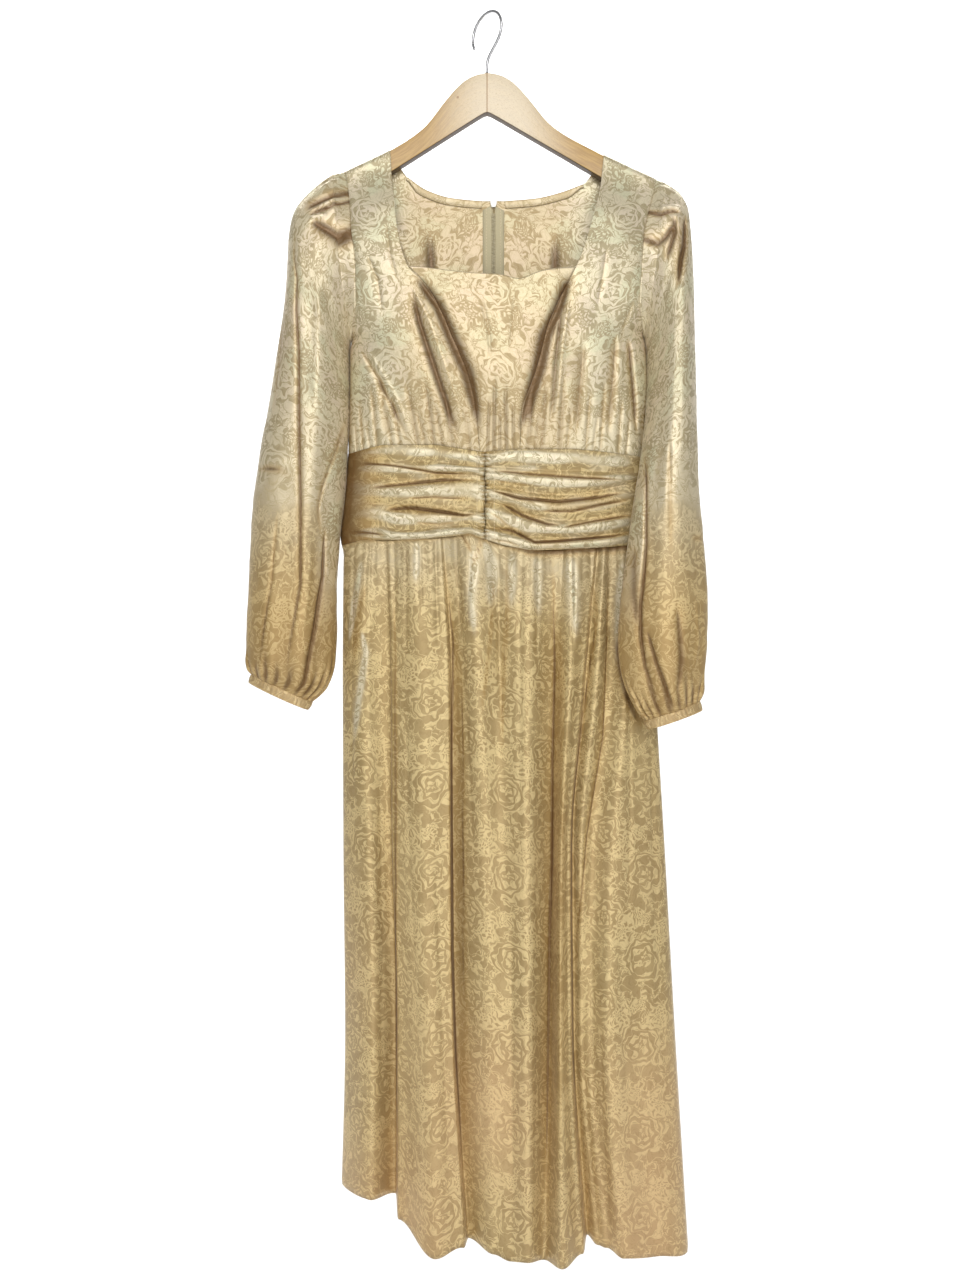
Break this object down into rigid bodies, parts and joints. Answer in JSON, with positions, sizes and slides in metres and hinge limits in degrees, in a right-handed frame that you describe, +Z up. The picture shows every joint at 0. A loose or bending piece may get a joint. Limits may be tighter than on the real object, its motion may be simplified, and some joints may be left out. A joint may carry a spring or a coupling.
{
  "type": "satin maxi dress on a wooden hanger",
  "caption": "Long-sleeved maxi dress with a square neck, ruched midriff and gathered skirt, hung on a flat wooden hanger with a wire hook.",
  "frame": {"origin": "inner top of the hanger's hook, where it rests on a rail", "axes": "+Z up, the front of the dress faces -Y, +X is the right-hand side as seen from the front"},
  "size_m": [0.5374, 0.1853, 1.4634],
  "materials": {
    "satin": "satin jacquard, champagne gold",
    "tape": "matt woven tape",
    "zip_white": "enamelled white",
    "wood": "golden varnish",
    "steel": "polished wire"
  },
  "bodies": {
    "dress": {"hanger_wood": "wood", "hanger_hook": "steel", "bodice_centre_front": "satin", "bodice_side_front_left": "satin", "bodice_side_front_right": "satin", "bodice_back_left": "satin", "bodice_back_right": "satin", "neck_binding_left": "satin", "neck_binding_right": "satin", "midriff_front_left": "satin", "midriff_front_right": "satin", "midriff_back_left": "satin", "midriff_back_right": "satin", "skirt_front": "satin", "skirt_back_left": "satin", "skirt_back_right": "satin", "sleeve_left": "satin", "sleeve_right": "satin", "cuff_left": "satin", "cuff_right": "satin", "zip_tape_left": "tape", "zip_tape_right": "tape", "zip_slider": "zip_white"},
    "pull": {"zip_pull": "zip_white"}
  },
  "joints": [
    {"name": "pull_swing", "type": "hinge", "parent": "dress", "child": "pull", "pos_m": [0.008, 0.01697, -0.22051], "axis": [1, 0, 0], "range_deg": [0, 130]}
  ]
}
